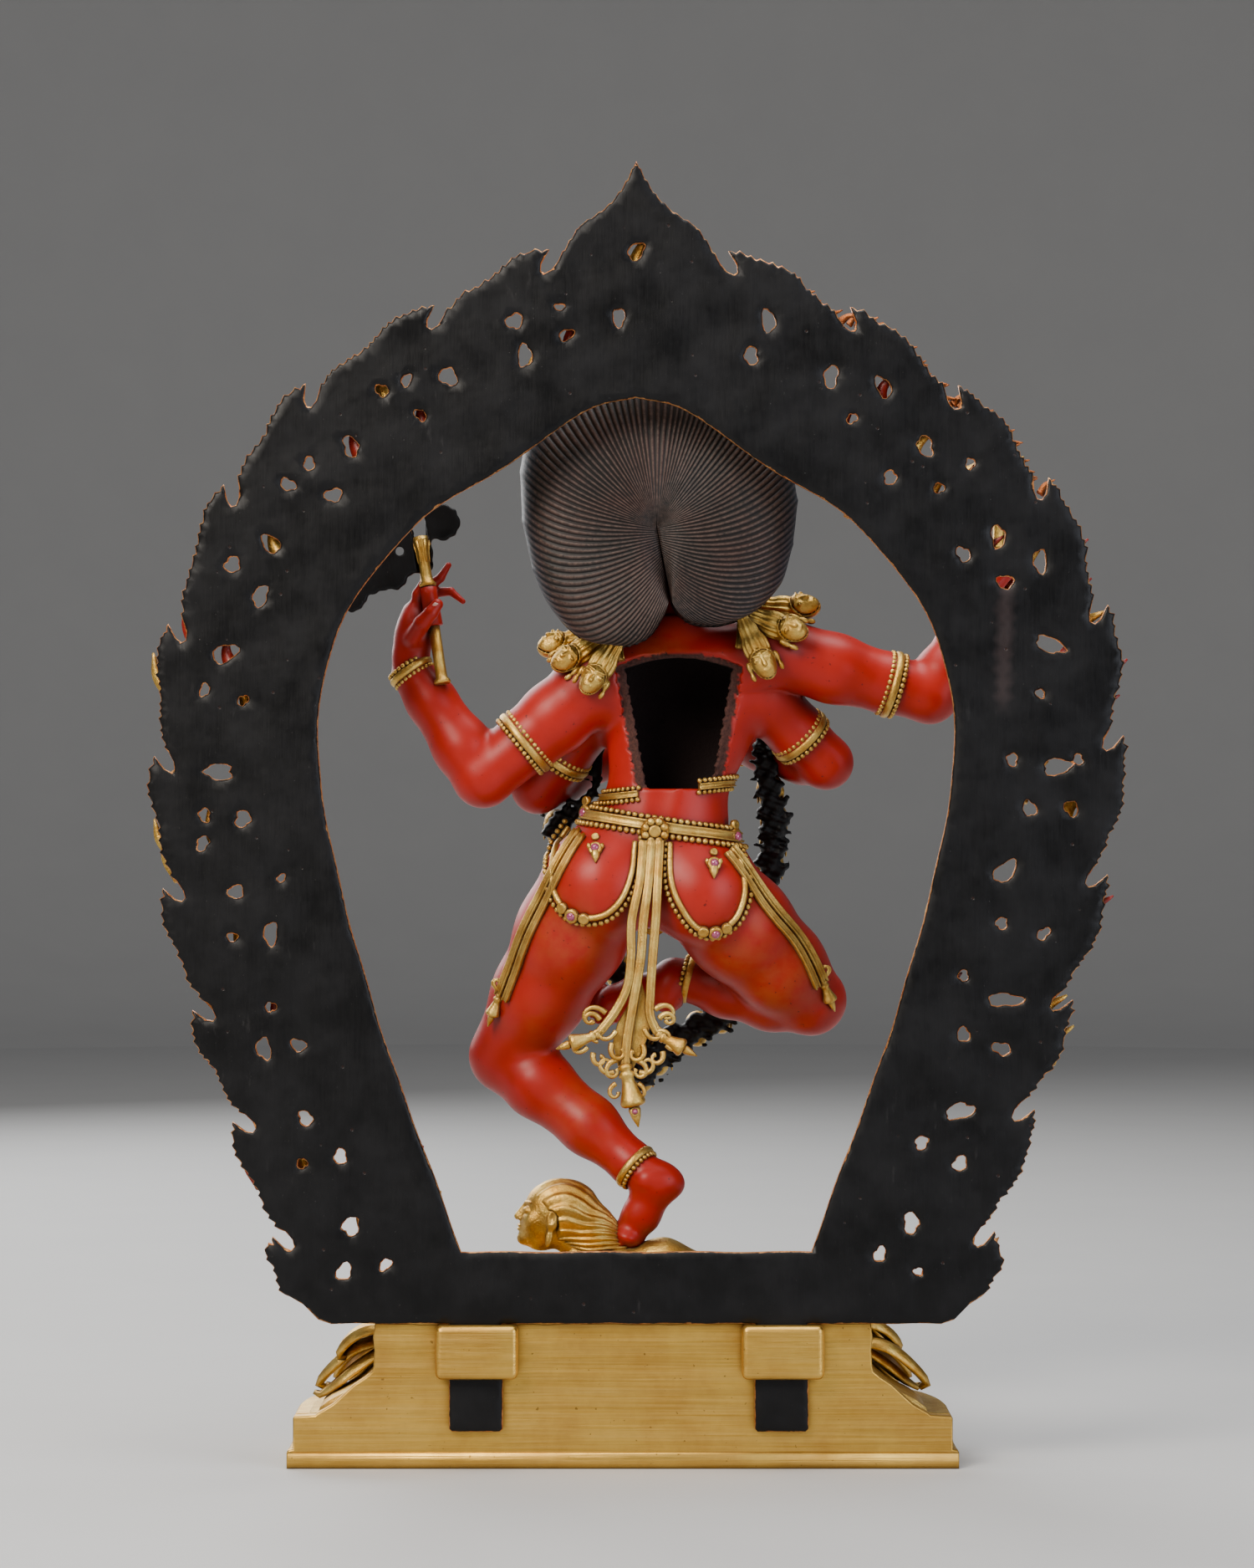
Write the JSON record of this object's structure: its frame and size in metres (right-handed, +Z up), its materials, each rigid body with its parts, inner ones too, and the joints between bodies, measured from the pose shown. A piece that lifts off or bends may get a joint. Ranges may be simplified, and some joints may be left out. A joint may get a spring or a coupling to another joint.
{
  "type": "lost-wax copper statue of a dancing goddess with a detachable flame aureole",
  "caption": "Four-armed goddess dancing on a prostrate figure and a lotus pedestal, with a flame aureole on tangs that lifts off and a staff and goad that lift out of the hands.",
  "frame": {"origin": "centre of the pedestal's underside, on its seal plate", "axes": "+Z up, the front of the figure faces -Y, its left side is +X"},
  "size_m": [0.2785, 0.1169, 0.3758],
  "materials": {
    "antique_gilt": "antique gilding with brown dirt in the recesses",
    "brushed_gilt": "satin, brushed along the length",
    "red_lacquer": "satin vermilion lacquer",
    "black_lacquer": "satin black lacquer over a filed casting, worn to copper at the edges",
    "hair_paint": "matte dark brown paint over incised hair lines",
    "ivory_paint": "matte bone-coloured paint",
    "bare_copper": "dull sheet copper"
  },
  "bodies": {
    "statue": {"anklets": "antique_gilt", "armlets": "antique_gilt", "bracelets": "antique_gilt", "bust": "red_lacquer", "chopper": "antique_gilt", "crown": "antique_gilt", "earrings": "antique_gilt", "foot_tenon": "bare_copper", "front_apron": "antique_gilt", "girdle": "antique_gilt", "girdle_drops": "antique_gilt", "girdle_rosette": "antique_gilt", "girdle_swags": "antique_gilt", "goad_handle": "antique_gilt", "hair_fan": "hair_paint", "head": "red_lacquer", "head_garland": "black_lacquer", "left_side_sash": "antique_gilt", "left_tang_socket": "brushed_gilt", "lower_body": "red_lacquer", "lower_left_arm": "red_lacquer", "lower_left_forearm": "red_lacquer", "lower_left_hand": "red_lacquer", "lower_petals": "antique_gilt", "lower_right_arm": "red_lacquer", "lower_right_forearm": "red_lacquer", "lower_right_hand": "red_lacquer", "necklace": "antique_gilt", "pearl_rim": "antique_gilt", "pedestal_back_plate": "brushed_gilt", "pedestal_shell": "antique_gilt", "pedestal_top_plate": "antique_gilt", "prostrate_body": "antique_gilt", "prostrate_hair": "antique_gilt", "prostrate_head": "antique_gilt", "raised_foot": "red_lacquer", "rear_tails": "antique_gilt", "rib_belt": "antique_gilt", "right_side_sash": "antique_gilt", "right_tang_socket": "brushed_gilt", "seal_plate": "bare_copper", "shoulder_heads": "antique_gilt", "skull_cup": "ivory_paint", "staff_handle": "antique_gilt", "standing_foot": "red_lacquer", "tenon_nut": "bare_copper", "upper_body": "red_lacquer", "upper_left_arm": "red_lacquer", "upper_left_forearm": "red_lacquer", "upper_left_hand": "red_lacquer", "upper_petals": "antique_gilt", "upper_right_arm": "red_lacquer", "upper_right_forearm": "red_lacquer", "upper_right_hand": "red_lacquer"},
    "aureole": {"aureole_plate": "black_lacquer"},
    "staff": {"lotus_staff": "antique_gilt", "staff_blossom": "black_lacquer"},
    "goad": {"goad_shaft": "antique_gilt", "goad_hook": "antique_gilt"}
  },
  "joints": [
    {"name": "aureole_lift", "type": "slide", "parent": "statue", "child": "aureole", "axis": [0, 0, 1], "range_m": [0, 0.034]},
    {"name": "staff_lift", "type": "slide", "parent": "statue", "child": "staff", "axis": [0.1545, -0.1434, 0.9775], "range_m": [0, 0.012]},
    {"name": "goad_lift", "type": "slide", "parent": "statue", "child": "goad", "axis": [0, 0, 1], "range_m": [0, 0.012]}
  ]
}
